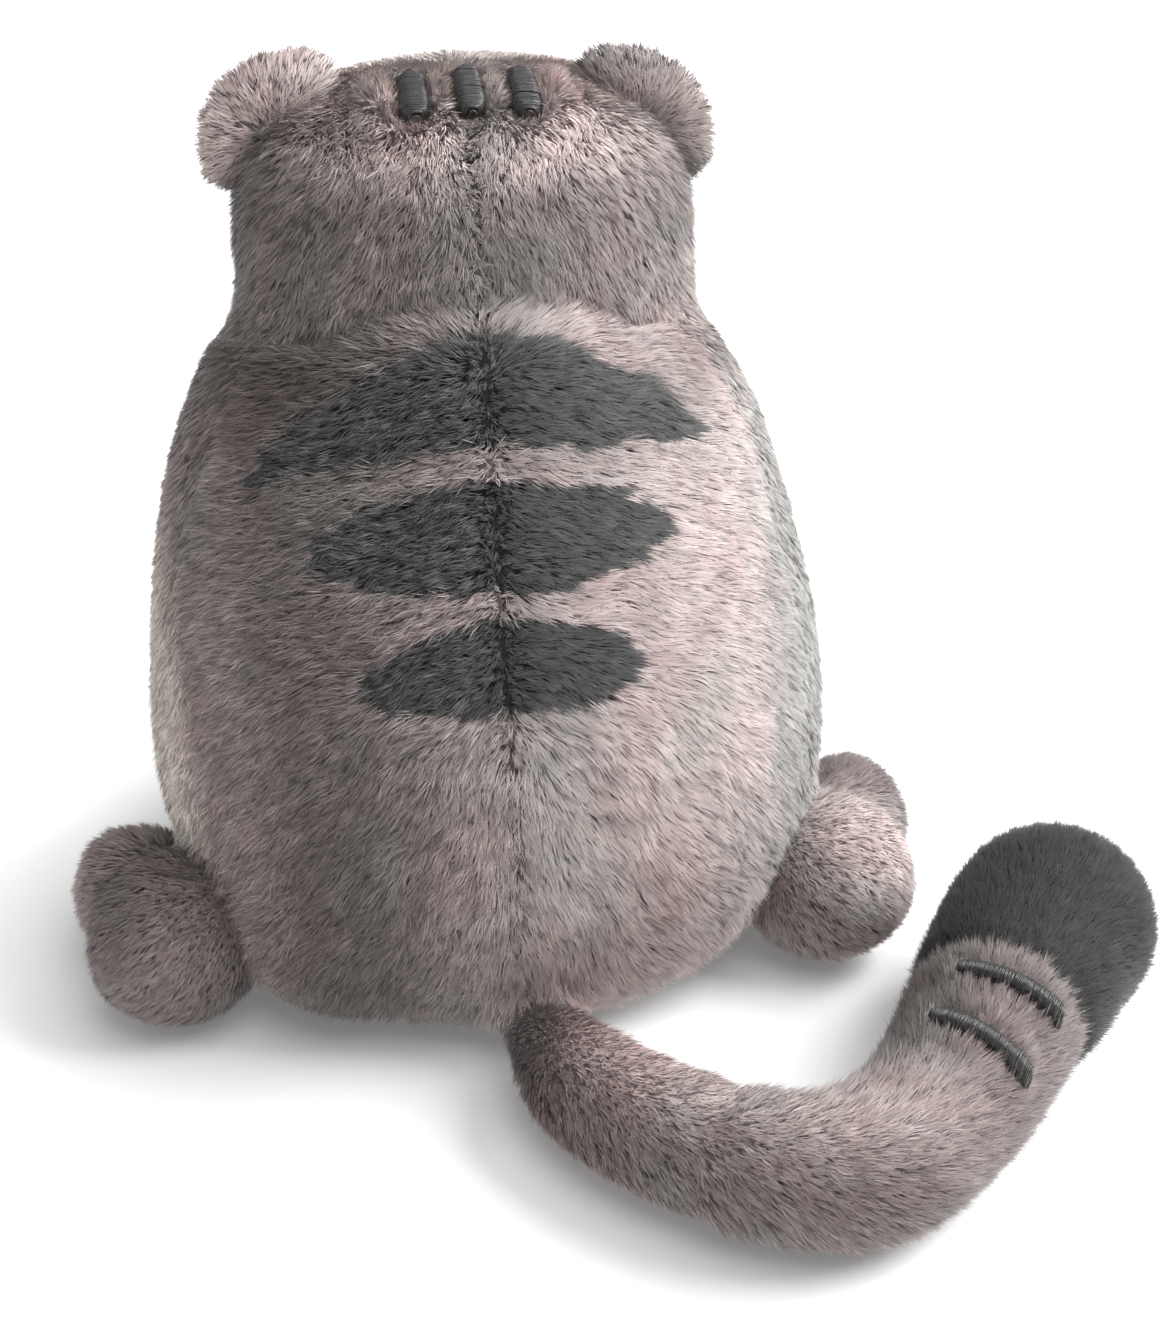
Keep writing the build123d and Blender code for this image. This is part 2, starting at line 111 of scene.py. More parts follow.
# ---------------------------------------------------------------- pile: length and lean in mm and degrees,
# density in tufts per square mm, spread is a tuft's radius, inset is how far the cloth lies under the CAD
# surface, and clump is how far a tuft's tips draw together
PILE_KEYS = ("length", "width", "lean", "density", "strands", "spread", "inset", "clump")
PILE_ROWS = {
    "long": (8.6, 0.24, 56, 1.0, 5, 0.90, 4.4, 0.28),
    "stripe": (7.4, 0.24, 52, 1.0, 5, 0.90, 4.2, 0.25),
    "head": (8.2, 0.24, 54, 1.0, 5, 0.90, 4.4, 0.28),
    "flank": (6.4, 0.25, 62, 0.90, 5, 0.90, 3.6, 0.20),
    "short": (4.2, 0.30, 60, 0.72, 4, 0.8, 2.2, 0.30),
    "limb": (6.2, 0.26, 54, 0.85, 5, 0.90, 3.8, 0.26),
    "ear": (6.2, 0.24, 50, 0.95, 5, 0.85, 3.2, 0.26),
    "tail": (7.6, 0.24, 56, 0.95, 5, 0.90, 4.4, 0.28),
    "tip": (6.6, 0.24, 52, 1.0, 5, 0.85, 4.4, 0.25),
}
PILES = {name: dict(zip(PILE_KEYS, row)) for name, row in PILE_ROWS.items()}
BARE_INSET = 4.0             # how far the cloth lies under a CAD node that carries no pile
PILE_DEPTH = 4.5             # from the cloth out to the CAD surface, where a point's node is looked up
ROOT_DEPTH = 0.6             # how far a tuft starts inside the cloth
NO_SEAM = 99.0               # the distance to a seam on a skin that has none
CLOTH_PRESSURE = 4.0
CLOTH_FRAMES = 20
GREY = np.array((0.47, 0.433, 0.412))
PINK = np.array((0.545, 0.432, 0.422))
PALE = np.array((0.66, 0.600, 0.585))
BEIGE = np.array((0.86, 0.75, 0.66))
LICHEN = np.array((0.41, 0.405, 0.39))
# ROOT and DARK_ROOT colour a strand's root: partly the fibre's own darker base, partly painted shade deep in
# the pile
ROOT = np.array((0.33, 0.275, 0.262))
DARK = np.array((0.105, 0.105, 0.105))
DARK_ROOT = np.array((0.06, 0.06, 0.06))
THREAD_PITCH = 0.46
THREAD_RADIUS = 0.27


# ---------------------------------------------------------------- small helpers
def unit(vectors):
    return vectors / np.maximum(np.linalg.norm(vectors, axis=-1, keepdims=True), 1e-9)


def ramp(values, low, high):
    """0 at low, 1 at high and smooth between them."""
    share = np.clip((values - low) / (high - low), 0, 1)
    return share * share * (3 - 2 * share)


def hump(values, middle, width):
    """1 at the middle, fading over the width either way."""
    return np.exp(-((values - middle) / width) ** 2)


def drift(points, size, seed, waves=14):
    """A smooth random field over points, about 1 either way, whose patches are about size across."""
    rng = np.random.default_rng(seed)
    directions = unit(rng.normal(size=(waves, 3)))
    speeds = 2 * math.pi / size * rng.uniform(0.55, 1.5, waves)
    phases = rng.uniform(0, 2 * math.pi, waves)
    return np.sin((points @ directions.T) * speeds + phases).sum(axis=1) / math.sqrt(waves / 2) / 1.6


def mix(first, second, share):
    return first * (1 - share[:, None]) + second * share[:, None]


def named(*starts):
    return [name for name in nodes if name.startswith(starts)]


class Finder:
    """Says which of some CAD nodes is nearest to a point, and how near."""

    def __init__(self, names):
        self.names = np.array(names)
        corners, faces, owners = [], [], []
        offset = 0
        for index, name in enumerate(names):
            mesh = nodes[name].data
            mesh.calc_loop_triangles()
            triangles = np.empty(len(mesh.loop_triangles) * 3, np.int32)
            mesh.loop_triangles.foreach_get("vertices", triangles)
            corners.append(points_of(mesh))
            faces.append(triangles.reshape(-1, 3) + offset)
            owners.append(np.full(len(faces[-1]), index))
            offset += len(corners[-1])
        self.owners = np.concatenate(owners)
        self.tree = BVHTree.FromPolygons(np.concatenate(corners).tolist(), np.concatenate(faces).tolist())

    def labels(self, points):
        hits = [self.tree.find_nearest(point)[2] for point in points.tolist()]
        return self.names[self.owners[hits]]

    def distances(self, points):
        return np.array([self.tree.find_nearest(point)[3] for point in points.tolist()])


def settle(obj):
    """Writes what the object's modifiers make into its own mesh."""
    graph = bpy.context.evaluated_depsgraph_get()
    mesh = bpy.data.meshes.new_from_object(obj.evaluated_get(graph))
    obj.modifiers.clear()
    obj.data = mesh
    mesh.name = obj.name


def points_of(mesh):
    points = np.empty(len(mesh.vertices) * 3)
    mesh.vertices.foreach_get("co", points)
    return points.reshape(-1, 3) / MM


def normals_of(mesh):
    normals = np.empty(len(mesh.vertices) * 3, np.float32)
    mesh.vertex_normals.foreach_get("vector", normals)
    return normals.reshape(-1, 3).astype(float)


def edges_of(mesh):
    edges = np.empty(len(mesh.edges) * 2, np.int32)
    mesh.edges.foreach_get("vertices", edges)
    return edges.reshape(-1, 2)


def place(mesh, points):
    mesh.vertices.foreach_set("co", (points * MM).ravel())
    mesh.update()


def smoothed(values, edges, rounds, share=0.5):
    """Values at the vertices, each moved towards its neighbours' mean."""
    values = values.astype(float).copy()
    count = np.bincount(edges.ravel(), minlength=len(values)).clip(1)
    count = count.reshape(-1, *([1] * (values.ndim - 1)))
    for _ in range(rounds):
        total = np.zeros_like(values)
        np.add.at(total, edges[:, 0], values[edges[:, 1]])
        np.add.at(total, edges[:, 1], values[edges[:, 0]])
        values += share * (total / count - values)
    return values


def link(obj):
    bpy.context.scene.collection.objects.link(obj)
    return obj


def tangent(flow, normal):
    return unit(flow - normal * (flow * normal).sum(axis=1, keepdims=True))


def turned(flow, normal, angle):
    """The flow turned about the normal."""
    return flow * np.cos(angle)[:, None] + np.cross(normal, flow) * np.sin(angle)[:, None]


# ---------------------------------------------------------------- cloth shells
def keep_largest(mesh):
    """Drops every loose shell but the one with the most vertices."""
    shape = bmesh.new()
    shape.from_mesh(mesh)
    left = set(shape.verts)
    best = []
    while left:
        island, todo = [], [left.pop()]
        while todo:
            vert = todo.pop()
            island.append(vert)
            for edge in vert.link_edges:
                other = edge.other_vert(vert)
                if other in left:
                    left.remove(other)
                    todo.append(other)
        if len(island) > len(best):
            best = island
    kept = set(best)
    bmesh.ops.delete(shape, geom=[vert for vert in shape.verts if vert not in kept], context="VERTS")
    shape.to_mesh(mesh)
    shape.free()


def shell(name, node_names, voxel, fillers=()):
    """One closed skin round the CAD nodes; fillers are (centre, radius) balls that close seats in them."""
    shape = bmesh.new()
    for node_name in node_names:
        shape.from_mesh(nodes[node_name].data)
    for centre, radius in fillers:
        bmesh.ops.create_icosphere(shape, subdivisions=3, radius=radius * MM,
                                   matrix=Matrix.Translation(Vector(centre) * MM))
    mesh = bpy.data.meshes.new(name)
    shape.to_mesh(mesh)
    shape.free()
    obj = link(bpy.data.objects.new(name, mesh))
    even = obj.modifiers.new("even", "REMESH")
    even.mode = "VOXEL"
    even.voxel_size = voxel * MM
    settle(obj)
    keep_largest(obj.data)
    return obj


def inflate(obj, held, cap):
    """Lets stuffing press the cloth out between its held seams. It starts half the cap inside, and may move
    by the cap."""
    rest = points_of(obj.data) - normals_of(obj.data) * cap / 2
    place(obj.data, rest)
    group = obj.vertex_groups.new(name="seams")
    group.add(np.flatnonzero(held).tolist(), 1.0, "REPLACE")
    cloth = obj.modifiers.new("stuffing", "CLOTH")
    cloth.settings.use_pressure = True
    cloth.settings.uniform_pressure_force = CLOTH_PRESSURE
    cloth.settings.vertex_group_mass = group.name
    cloth.settings.effector_weights.gravity = 0
    cloth.collision_settings.use_collision = False
    for number in range(1, CLOTH_FRAMES + 1):
        bpy.context.scene.frame_set(number)
    settle(obj)
    bpy.context.scene.frame_set(1)
    moved = points_of(obj.data) - rest
    reach = np.linalg.norm(moved, axis=1, keepdims=True)
    place(obj.data, rest + moved * np.minimum(1, cap / np.maximum(reach, 1e-6)))
    obj.vertex_groups.clear()


def refine(obj):
    """One round of subdivision."""
    finer = obj.modifiers.new("finer", "SUBSURF")
    finer.levels = finer.render_levels = 1
    settle(obj)


def nearest(points, targets):
    """Distance to the nearest target, and its index."""
    tree = KDTree(len(targets))
    for index, target in enumerate(targets.tolist()):
        tree.insert(target, index)
    tree.balance()
    found = [tree.find(point) for point in points.tolist()]
    return np.array([hit[2] for hit in found]), np.array([hit[1] for hit in found])


# ---------------------------------------------------------------- pile
def strand_mesh(name, tufts, strands, clump, rng):
    """A mesh of tapered ribbons, several from each tuft. tufts holds one row per tuft of: at, normal, flow,
    lean, length, width, spread, wild, speckle, root and tip colours."""
    tufts = {key: np.repeat(value, strands, axis=0) for key, value in tufts.items()}
    total = len(tufts["at"])
    normal = tufts["normal"]
    wild = tufts["wild"]
    flow = turned(tufts["flow"], normal, rng.normal(0, 0.20, total) * wild)
    side = np.cross(normal, flow)
    angle = rng.uniform(0, 2 * math.pi, total)
    radius = tufts["spread"] * np.sqrt(rng.random(total))
    offset = radius[:, None] * (np.cos(angle)[:, None] * flow + np.sin(angle)[:, None] * side)
    lean = np.clip(tufts["lean"] + rng.normal(0, 0.10, total) * wild, 0.05, 1.45)
    length = tufts["length"] * rng.uniform(0.74, 1.06, total)
    steps = (0.0, 0.55, 0.45)
    leans = (0.0, 0.70, 1.15)
    pulls = (1.0, 0.80, 1 - clump)
    widths = (0.9, 1.0, 0.0)
    # how far each step has gone from the root colour, which is partly painted shade, to the tip colour
    shades = (0.0, 0.65, 1.0)
    roll = rng.normal(0, 0.5, total)
    bright = 1 + tufts["speckle"] * rng.uniform(-1, 1, total)
    spine = tufts["at"].copy()
    rows, lights, colours = [], [], []
    for step, share, pull, wide, shade in zip(steps, leans, pulls, widths, shades):
        bend = np.minimum(lean * share, 1.5)[:, None]
        heading = normal * np.cos(bend) + flow * np.sin(bend)
        spine = spine + heading * (length * step)[:, None]
        centre = spine + offset * pull
        across = np.cross(heading, normal)
        across = unit(np.where(np.linalg.norm(across, axis=1, keepdims=True) < 0.05, side, across))
        up = np.cross(across, heading)
        across = across * np.cos(roll)[:, None] + up * np.sin(roll)[:, None]
        light = unit(0.78 * normal + 0.22 * up * np.sign((up * normal).sum(axis=1, keepdims=True) + 1e-6))
        colour = tufts["root"] * (1 - shade) + tufts["tip"] * shade
        colour = np.clip(colour * bright[:, None], 0, 1)
        half = across * (tufts["width"] * wide / 2)[:, None]
        for end in ((centre,) if wide == 0 else (centre - half, centre + half)):
            rows.append(end)
            lights.append(light)
            colours.append(colour)
    return ribbons(name, np.stack(rows, axis=1), np.stack(lights, axis=1), np.stack(colours, axis=1))


def ribbons(name, rows, lights, colours):
    """The mesh itself: five points to a strand make a quad and a tip."""
    total = len(rows)
    mesh = bpy.data.meshes.new(name)
    mesh.vertices.add(total * 5)
    mesh.vertices.foreach_set("co", (rows * MM).astype(np.float32).ravel())
    mesh.loops.add(total * 7)
    pattern = np.array((0, 1, 3, 2, 2, 3, 4))
    corners = np.arange(total)[:, None] * 5 + pattern
    mesh.loops.foreach_set("vertex_index", corners.astype(np.int32).ravel())
    mesh.polygons.add(total * 2)
    starts = np.arange(total)[:, None] * 7 + np.array((0, 4))
    mesh.polygons.foreach_set("loop_start", starts.astype(np.int32).ravel())
    mesh.update(calc_edges=True)
    mesh.polygons.foreach_set("use_smooth", np.ones(total * 2, bool))
    paint = mesh.color_attributes.new(name="pile", type="BYTE_COLOR", domain="POINT")
    tints = np.ones((total * 5, 4), np.float32)
    tints[:, :3] = colours.reshape(-1, 3)
    paint.data.foreach_set("color", tints.ravel())
    mesh.normals_split_custom_set_from_vertices(lights.reshape(-1, 3).astype(np.float32))
    return mesh


# ---------------------------------------------------------------- materials
def node_material(name):
    material = bpy.data.materials.new(name)
    material.use_nodes = True
    tree = material.node_tree
    return material, tree, tree.nodes["Principled BSDF"]


def pile_material(name, roughness, sheen):
    """Fibre whose colour each strand carries. The shader sits in a group so that it stays live."""
    group = bpy.data.node_groups.new(name, "ShaderNodeTree")
    group.interface.new_socket(name="Shader", in_out="OUTPUT", socket_type="NodeSocketShader")
    output = group.nodes.new("NodeGroupOutput")
    fibre = group.nodes.new("ShaderNodeBsdfPrincipled")
    colour = group.nodes.new("ShaderNodeVertexColor")
    colour.layer_name = "pile"
    fibre.inputs["Roughness"].default_value = roughness
    fibre.inputs["Specular IOR Level"].default_value = 0.25
    fibre.inputs["Sheen Weight"].default_value = sheen
    fibre.inputs["Sheen Roughness"].default_value = 0.45
    group.links.new(colour.outputs["Color"], fibre.inputs["Base Color"])
    group.links.new(fibre.outputs["BSDF"], output.inputs[0])
    material = bpy.data.materials.new(name)
    material.use_nodes = True
    tree = material.node_tree
    tree.nodes.remove(tree.nodes["Principled BSDF"])
    holder = tree.nodes.new("ShaderNodeGroup")
    holder.node_tree = group
    tree.links.new(holder.outputs[0], tree.nodes["Material Output"].inputs["Surface"])
    return material


def mottled(name, low, high, size, roughness, bump=0.2, sheen=0.0, coat=0.0):
    """A colour that wanders between two, over a fine grain, for cloth, thread, plastic and pellets."""
    material, tree, shader = node_material(name)
    place_of = tree.nodes.new("ShaderNodeTexCoord")
    noise = tree.nodes.new("ShaderNodeTexNoise")
    noise.inputs["Scale"].default_value = 1 / (size * MM)
    noise.inputs["Detail"].default_value = 4
    colours = tree.nodes.new("ShaderNodeValToRGB")
    colours.color_ramp.elements[0].position = 0.3
    colours.color_ramp.elements[0].color = (*low, 1)
    colours.color_ramp.elements[1].position = 0.7
    colours.color_ramp.elements[1].color = (*high, 1)
    relief = tree.nodes.new("ShaderNodeBump")
    relief.inputs["Strength"].default_value = bump
    relief.inputs["Distance"].default_value = 0.3 * MM
    tree.links.new(place_of.outputs["Object"], noise.inputs["Vector"])
    tree.links.new(noise.outputs["Fac"], colours.inputs["Fac"])
    tree.links.new(colours.outputs["Color"], shader.inputs["Base Color"])
    tree.links.new(noise.outputs["Fac"], relief.inputs["Height"])
    tree.links.new(relief.outputs["Normal"], shader.inputs["Normal"])
    shader.inputs["Roughness"].default_value = roughness
    shader.inputs["Sheen Weight"].default_value = sheen
    shader.inputs["Coat Weight"].default_value = coat
    return material


backing = mottled("backing_cloth", (0.19, 0.16, 0.155), (0.30, 0.25, 0.245), 1.2, 0.95, sheen=0.2)
dark_backing = mottled("dark_backing_cloth", (0.02, 0.02, 0.02), (0.045, 0.045, 0.045), 1.2, 0.95, sheen=0.2)
satin = mottled("satin_thread", (0.012, 0.011, 0.012), (0.07, 0.068, 0.068), 0.7, 0.30)
nose_satin = mottled("nose_thread", (0.30, 0.13, 0.13), (0.42, 0.19, 0.19), 0.8, 0.4, sheen=0.3)
glass = mottled("eye_plastic", (0.006, 0.005, 0.005), (0.014, 0.011, 0.01), 6, 0.12, bump=0.02, coat=0.6)
washer = mottled("washer_nylon", (0.55, 0.55, 0.53), (0.66, 0.66, 0.64), 3, 0.5)
pouch_cloth = mottled("pouch_cloth", (0.50, 0.49, 0.46), (0.64, 0.63, 0.60), 0.9, 0.9)
pellets = mottled("pellet_plastic", (0.55, 0.55, 0.56), (0.75, 0.75, 0.76), 2.5, 0.45, bump=0.8)
pile = pile_material("plush_pile", roughness=0.9, sheen=0.3)

for node_name, material in (("eye", glass), ("eye_left_washer", washer), ("eye_right_washer", washer),
                            ("mouth", satin), ("whisker", satin), ("pellet_pouch", pouch_cloth),
                            ("pellet_fill", pellets)):
    for found in named(node_name):
        data = nodes[found].data
        data.materials.clear()
        data.materials.append(material)

# ---------------------------------------------------------------- which pile each CAD node carries
PILE_OF = (("back_panel", "long"), ("stripe", "stripe"), ("side_panel", "flank"), ("belly", "short"),
           ("base", "short"), ("head_back", "head"), ("face_panel", "short"), ("ear", "ear"),
           ("leg", "limb"), ("paw", "limb"), ("tail_tip", "tip"), ("tail", "tail"))
BARE = ("crown_bar", "tail_band", "leg_left_toe", "leg_right_toe", "nose", "mouth", "whisker", "eye")


def pile_kind(label):
    if label.startswith(BARE):
        return ""
    return next(kind for start, kind in PILE_OF if label.startswith(start))


def pile_value(labels, key, bare=0.0):
    table = {label: PILES[pile_kind(label)][key] if pile_kind(label) else bare for label in set(labels)}
    return np.array([table[label] for label in labels], float)


# ---------------------------------------------------------------- seams
# depth and width of the valley that each kind of seam makes
SEAM_VALLEYS = {"neck": (6.0, 6.0), "crown": (1.8, 3.2), "back": (0.7, 3.0), "side": (1.0, 3.5),
                "face": (1.5, 4.0), "foot": (1.5, 3.5), "tip": (1.2, 3.0)}


def seam_kind(a, b):
    """What kind of seam runs between two CAD nodes, if it makes a valley."""
    head = ("head", "face", "crown_bar", "eye", "nose", "mouth", "whisker")
    if "crown_bar" in a + b or "tail_band" in a + b:
        return ""
    if a.startswith(head) != b.startswith(head):
        return "neck"
    if a.startswith("head_back") and b.startswith("head_back"):
        return "crown"
    if "face_panel" in (a, b) and "head_back" in a + b:
        return "face"
    back = ("back_panel", "stripe")
    if a.startswith(back) and b.startswith(back):
        return "back" if a.rsplit("_", 1)[1] != b.rsplit("_", 1)[1] else ""
    if "base" in a + b or "belly" in a + b:
        return "side"
    if "sole" in a + b:
        return "foot"
    return "tip" if "tail_tip" in (a, b) else ""


class Skin:
    """A cloth shell with what the pile needs to know about it."""

    def __init__(self, name, node_names, voxel, fillers=(), cap=2.0, model=None):
        self.finder = Finder(node_names)
        self.obj = shell(name, node_names, voxel, fillers)
        mesh = self.obj.data
        edges = edges_of(mesh)
        points = smoothed(points_of(mesh), edges, 4)
        place(mesh, points)
        labels = self.finder.labels(points)
        inset = smoothed(pile_value(labels, "inset", bare=BARE_INSET), edges, 3)
        place(mesh, points - normals_of(mesh) * inset[:, None])
        crossing = labels[edges[:, 0]] != labels[edges[:, 1]]
        held = np.zeros(len(labels), bool)
        held[edges[crossing].ravel()] = True
        inflate(self.obj, held, cap)
        refine(self.obj)
        mesh = self.obj.data
        edges = edges_of(mesh)
        points = points_of(mesh)
        self.home = points + normals_of(mesh) * PILE_DEPTH
        self.labels = self.finder.labels(self.home)
        first, second = edges.T
        names = zip(self.labels[first], self.labels[second])
        kinds = np.array([seam_kind(a, b) if a != b else "" for a, b in names])
        self.seam_edges = edges[kinds != ""]
        self.kinds = kinds[kinds != ""]
        if len(self.kinds):
            seams = points[self.seam_edges].mean(axis=1)
            distance, index = nearest(points, seams)
            depth, width = np.array([SEAM_VALLEYS[kind] for kind in self.kinds])[index].T
            if "neck" in self.kinds:
                across = np.abs(points[:, 0])
                depth = depth * np.where(self.kinds[index] == "neck", 0.5 + 0.5 * ramp(across, 18, 36)
                                         - 1.0 * ramp(across, 50, 62), 1)
            valley = smoothed(depth * hump(distance, 0, width), edges, 2)
            points = points - normals_of(mesh) * valley[:, None]
        if model:
            points = model(points, normals_of(mesh), self.home, edges)
        place(mesh, points)
        mesh.polygons.foreach_set("use_smooth", np.ones(len(mesh.polygons), bool))
        mesh.materials.append(backing)
        mesh.materials.append(dark_backing)
        dark = np.char.startswith(self.labels, "stripe") | (self.labels == "tail_tip")
        mesh.polygons.foreach_set("material_index", [int(dark[face.vertices[0]]) for face in mesh.polygons])

    def roots(self, rng, order=None):
        """Where tufts grow: at, normal, home in the CAD, its label, and the gap to the nearest seam."""
        mesh = self.obj.data
        mesh.calc_loop_triangles()
        triangles = np.empty(len(mesh.loop_triangles) * 3, np.int32)
        mesh.loop_triangles.foreach_get("vertices", triangles)
        triangles = triangles.reshape(-1, 3)
        points, normals = points_of(mesh), normals_of(mesh)
        a, b, c = (points[triangles[:, column]] for column in range(3))
        areas = np.linalg.norm(np.cross(b - a, c - a), axis=1) / 2
        wanted = areas * pile_value(self.labels, "density")[triangles].mean(axis=1)
        count = np.floor(wanted + rng.random(len(wanted))).astype(int)
        chosen = np.repeat(np.arange(len(triangles)), count)
        u, v = rng.random((2, len(chosen)))
        flip = u + v > 1
        u[flip], v[flip] = 1 - u[flip], 1 - v[flip]
        weights = np.stack([1 - u - v, u, v], axis=1)[:, :, None]
        corners = triangles[chosen]
        at = (points[corners] * weights).sum(axis=1)
        if order is not None:
            rank = np.argsort(at @ order, kind="stable")
            at, corners, weights = at[rank], corners[rank], weights[rank]
        home = (self.home[corners] * weights).sum(axis=1)
        found = dict(at=at, normal=unit((normals[corners] * weights).sum(axis=1)), home=home,
                     label=self.finder.labels(home), gap=np.full(len(at), NO_SEAM))
        if len(self.kinds):
            found["gap"], _ = nearest(at, points[self.seam_edges].mean(axis=1))
        return found


def grow(group, roots, select, flow, tip, root, rng, attach, wild=0.9, lift=0.0, stretch=1.0, speckle=0.28):
    """Pile on one part of a skin, in as many pieces as the budget asks for."""
    at, normal = roots["at"], roots["normal"]
    kinds = np.array([pile_kind(name) for name in roots["label"]])
    wild, lift, stretch, speckle = (np.broadcast_to(np.asarray(value, float), len(at))
                                    for value in (wild, lift, stretch, speckle))
    for pile_name, style in PILES.items():
        chosen = np.flatnonzero(select & (kinds == pile_name))
        if not len(chosen):
            continue
        pieces = math.ceil(len(chosen) * style["strands"] / STRAND_BUDGET)
        for number, rows in enumerate(np.array_split(chosen, pieces), start=1):
            here = at[rows]
            close = hump(roots["gap"][rows], 0, 2.2)
            length = style["length"] * stretch[rows] * (1 - 0.12 * close) * (1 + 0.08 * drift(here, 3.2, 31))
            lean = math.radians(style["lean"]) * (1 - lift[rows]) * (1 + 0.09 * drift(here, 3.4, 32))
            turn = (0.24 * drift(here, 3.6, 33) + rng.normal(0, 0.10, len(rows))) * wild[rows]
            tufts = dict(at=here - normal[rows] * ROOT_DEPTH, normal=normal[rows],
                         flow=turned(flow[rows], normal[rows], turn), lean=lean,
                         length=length * rng.uniform(0.90, 1.08, len(rows)),
                         width=np.full(len(rows), style["width"]), spread=np.full(len(rows), style["spread"]),
                         wild=wild[rows], speckle=speckle[rows], root=root[rows],
                         tip=tip[rows] * (1 + speckle[rows] * rng.uniform(-1, 1, len(rows)))[:, None])
            piece_name = f"pile_{group}_{pile_name}" + (f"_{number}" if pieces > 1 else "")
            mesh = strand_mesh(piece_name, tufts, style["strands"], style["clump"], rng)
            mesh.materials.append(pile)
            obj = link(bpy.data.objects.new(piece_name, mesh))
            attach(obj)


# ---------------------------------------------------------------- satin stitching
def unbroken(hits, fewest):
    """The runs of neighbouring hits, so that threads don't cross the gap between two stitches."""
    runs = [[]]
    for hit in hits:
        if hit is None:
            runs.append([])
        else:
            runs[-1].append(hit)
    return [np.array(run) for run in runs if len(run) >= fewest]


def laid_threads(name, along, up, sink, attach, material=satin):
    """Stands for an embroidered CAD node: threads side by side across it, laid on its outer face."""
    tree = Finder([name]).tree
    cloud = points_of(nodes[name].data)
    up = unit(np.array(up, float))
    along = unit(np.array(along, float) - up * (up @ along))
    across = np.cross(up, along)
    middle = (cloud.min(axis=0) + cloud.max(axis=0)) / 2
    spans = (cloud - middle) @ np.stack([along, across], axis=1)
    low, high = spans.min(axis=0), spans.max(axis=0)
    rng = np.random.default_rng(len(cloud))
    rings, sides, reach = 7, 6, 60.0
    shape = bmesh.new()
    for station in np.arange(low[0] + THREAD_PITCH / 2, high[0], THREAD_PITCH):
        steps = np.linspace(low[1], high[1], 81)
        starts = [middle + along * station + across * step + up * reach for step in steps]
        hits = [tree.ray_cast(start.tolist(), (-up).tolist(), 2 * reach)[0] for start in starts]
        for line in unbroken(hits, 5):
            spread = np.linspace(0, len(line) - 1, rings)
            order = np.arange(len(line))
            line = np.stack([np.interp(spread, order, line[:, axis]) for axis in range(3)], axis=1)
            share = np.linspace(-1, 1, rings)[:, None]
            rise = 0.45 * (1 - share ** 2) - 0.9 * share ** 6 - sink + rng.normal(0, 0.10)
            line = line + up * rise + along * (rng.normal(0, 0.08) + share * rng.normal(0, 0.12))
            heading = unit(np.gradient(line, axis=0))
            flank = unit(np.cross(heading, up))
            crest = np.cross(flank, heading)
            loops = []
            for ring in range(rings):
                turns = (np.arange(sides) * 2 * math.pi / sides)[:, None]
                ring_out = flank[ring] * np.cos(turns) + crest[ring] * np.sin(turns)
                places = line[ring] + ring_out * THREAD_RADIUS
                loops.append([shape.verts.new(place_at * MM) for place_at in places])
            for before, after in zip(loops, loops[1:]):
                for index in range(sides):
                    other = (index + 1) % sides
                    shape.faces.new((before[index], before[other], after[other], after[index]))
            shape.faces.new(loops[0][::-1])
            shape.faces.new(loops[-1])
    bmesh.ops.recalc_face_normals(shape, faces=shape.faces)
    mesh = bpy.data.meshes.new(f"{name}_threads")
    shape.to_mesh(mesh)
    shape.free()
    mesh.polygons.foreach_set("use_smooth", np.ones(len(mesh.polygons), bool))
    mesh.materials.append(material)
    obj = link(bpy.data.objects.new(f"{name}_threads", mesh))
    attach(obj)
    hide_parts(name)


# ---------------------------------------------------------------- torso and head: one skin
bars = Finder(named("crown_bar"))
ears = Finder(named("ear_"))


def model_body(points, normals, home, edges):
    """Shoulders that run smoothly into the head, a slight lean to the left, a wide left hip, and furrows for
    the crown bars."""
    height = (home - NECK) @ NECK_UP
    calm = smoothed(points, edges, 40)
    points = points + (calm - points) * (hump(height, 0, 20) * ramp(np.abs(home[:, 0]), 40, 56))[:, None]
    rise = ramp(home[:, 2], 88, 145)
    left = ramp(home[:, 0], 15, 60)
    shoulder = hump(home[:, 2], 163, 20)
    upper = ramp(height, -4, 16)
    points[:, 0] += 1.0 * rise + left * (2.6 * rise - 2.4 * upper + 2.2 * shoulder + 2.4 * hump(height, 0, 12))
    points[:, 0] += 1.5 * left * hump(home[:, 2], 95, 40)
    points[:, 0] -= ramp(-home[:, 0], 15, 60) * 1.2 * shoulder
    hip = 1.5 * ramp(home[:, 0], 30, 62) * ramp(home[:, 1], 20, 60) * (1 - ramp(home[:, 2], 26, 58))
    points += normals * (4.5 * hip)[:, None]
    away = bars.distances(home)
    furrow = 2.6 * hump(away, 5.0, 2.8) * hump(home[:, 1], -28, 13) - 2.2 * (1 - ramp(away, 0, 3.5))
    points += normals * (furrow * ramp(home[:, 2], 225, 235))[:, None]
    return points


body_nodes = named("back_panel", "side_panel", "belly", "base", "stripe", "head_back", "face_panel",
                   "crown_bar")
seat_fill = [(joint_ball["leg_left_splay"], 20), (joint_ball["leg_right_splay"], 20),
             (joint_ball["paw_left_swing"], 11), (joint_ball["paw_right_swing"], 11),
             (joint_ball["tail_sweep"], 12),
             (joint_ball["ear_left_fold"], 11), (joint_ball["ear_right_fold"], 11)]
body = Skin("body_cloth", body_nodes, 5.0, seat_fill, model=model_body)


def on_body(obj):
    """Rides on the torso or the head, or is left on no body, in place, if it reaches into the neck."""
    height = (points_of(obj.data) - NECK) @ NECK_UP
    if height.max() < -NECK_BLEND:
        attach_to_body(obj, "torso")
    elif height.min() > NECK_BLEND:
        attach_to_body(obj, "head")
    else:
        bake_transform(obj)


def riding(body_name):
    return lambda obj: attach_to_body(obj, body_name)


on_body(body.obj)
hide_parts(*[name for name in body_nodes if not name.startswith("crown_bar")],
            "torso_stuffing", "head_stuffing")

